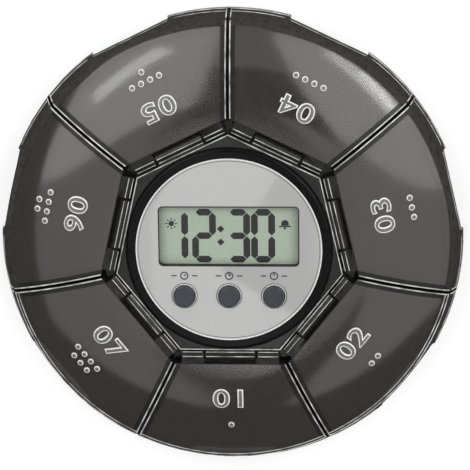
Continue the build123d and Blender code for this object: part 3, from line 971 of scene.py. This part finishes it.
def make_camera():
    """A camera nearly above the box, slid a little to frame it as the photograph does."""
    backward = Vector((
        sin(camera_azimuth) * cos(camera_elevation),
        cos(camera_azimuth) * cos(camera_elevation),
        sin(camera_elevation),
    ))
    level_right = (-backward).cross(Vector((0, 1, 0))).normalized()
    level_up = level_right.cross(-backward)
    right = cos(camera_roll) * level_right + sin(camera_roll) * level_up
    up = cos(camera_roll) * level_up - sin(camera_roll) * level_right
    data = bpy.data.cameras.new("camera")
    data.sensor_width = sensor_width
    data.lens = sensor_width * focal_pixels / frame_pixels
    camera = bpy.data.objects.new("camera", data)
    bpy.context.scene.collection.objects.link(camera)
    turn = Matrix((right, up, backward)).transposed().to_4x4()
    place = camera_aim + backward * camera_distance + right * camera_slide[0] + up * camera_slide[1]
    camera.matrix_world = Matrix.Translation(place) @ turn
    return camera


bpy.context.scene.camera = make_camera()


# Floor, lamps and world
floor_reach = 3.0
floor_grey = 0.9
floor_roughness = 0.9
floor_lift = 0.33


def larger(material, first, second):
    """The larger of two sockets' values, as a socket."""
    node = material.node_tree.nodes.new("ShaderNodeMath")
    node.operation = "MAXIMUM"
    material.node_tree.links.new(first, node.inputs[0])
    material.node_tree.links.new(second, node.inputs[1])
    return node.outputs["Value"]


def make_floor():
    """A pale floor that takes the shadow, lifted to white where it is seen."""
    shape = bmesh.new()
    bmesh.ops.create_grid(shape, x_segments=1, y_segments=1, size=floor_reach)
    mesh = bpy.data.meshes.new("floor")
    shape.to_mesh(mesh)
    shape.free()
    floor = bpy.data.objects.new("floor", mesh)
    bpy.context.scene.collection.objects.link(floor)
    material, parts, links = new_material("floor_white")
    skin = parts["Principled BSDF"]
    skin.inputs["Base Color"].default_value = (floor_grey, floor_grey, floor_grey, 1)
    skin.inputs["Roughness"].default_value = floor_roughness
    skin.inputs["Specular IOR Level"].default_value = 0.0
    skin.inputs["Emission Color"].default_value = (1, 1, 1, 1)
    path = parts.new("ShaderNodeLightPath")
    seen = path.outputs["Is Camera Ray"]
    for ray in ("Is Glossy Ray", "Is Transmission Ray"):
        seen = larger(material, seen, path.outputs[ray])
    lift = parts.new("ShaderNodeMath")
    lift.operation = "MULTIPLY"
    lift.inputs[1].default_value = floor_lift
    links.new(seen, lift.inputs[0])
    links.new(lift.outputs["Value"], skin.inputs["Emission Strength"])
    mesh.materials.append(material)
    return floor


def make_lamp(name, size, place, radiance, roll=0.0, aim=None):
    """An oblong lamp with an evenly bright face, where a radiance of 1 looks white.

    It faces straight down unless it is aimed.
    """
    light = bpy.data.lights.new(name, "AREA")
    light.shape = "RECTANGLE"
    light.size, light.size_y = size
    light.energy = radiance * pi * size[0] * size[1]
    lamp = bpy.data.objects.new(name, light)
    bpy.context.scene.collection.objects.link(lamp)
    direction = Vector(aim or (place[0], place[1], 0)) - Vector(place)
    aimed = direction.to_track_quat("-Z", "Y").to_matrix().to_4x4()
    lamp.matrix_world = Matrix.Translation(place) @ aimed @ Matrix.Rotation(roll, 4, "Z")
    return lamp


make_floor()

# Softboxes that lids 3 to 6 mirror, and the dimmer gap between them
make_lamp("left_softbox", (0.70, 0.84), (-0.44, 0.40, 0.80), 2.3)
make_lamp("right_softbox", (0.86, 0.74), (0.56, 0.36, 0.80), 2.3)
make_lamp("middle_fill", (0.20, 0.60), (0.02, 0.60, 0.80), 0.6)

# Weaker ones that lids 1, 2 and 7 and the hub mirror, and a low strip from +Y
make_lamp("left_side_fill", (0.71, 0.59), (-0.445, -0.325, 0.80), 0.8)
make_lamp("right_side_fill", (1.00, 0.67), (0.60, -0.345, 0.80), 0.95)
make_lamp("right_near_fill", (0.10, 0.20), (0.05, -0.145, 0.80), 0.95)
make_lamp("back_strip", (2.40, 0.50), (0, 1.30, 0.42), 1.0, aim=(0, 0, 0))

# Brighter patches on lids 3 to 6
make_lamp("left_streak", (0.34, 0.14), (-0.42, 0.43, 0.79), 3.3, radians(45))
make_lamp("right_streak", (0.40, 0.12), (0.50, 0.46, 0.79), 3.6, radians(-55))
make_lamp("right_gleam", (0.24, 0.08), (0.59, 0.42, 0.78), 6.5, radians(-58))

# Cards that the silver face mirrors as slanting patches
make_lamp("face_card", (0.110, 0.050), (-0.0675, -0.183, 0.80), 2.3, radians(59.5))
make_lamp("face_low_card", (0.048, 0.060), (-0.0384, -0.2422, 0.80), 2.6, radians(59.5))

world_strength = 0.22
world = bpy.data.worlds.new("studio")
bpy.context.scene.world = world
world.use_nodes = True
world.node_tree.nodes["Background"].inputs["Color"].default_value = (1, 1, 1, 1)
world.node_tree.nodes["Background"].inputs["Strength"].default_value = world_strength

bpy.context.scene.view_settings.view_transform = "Standard"
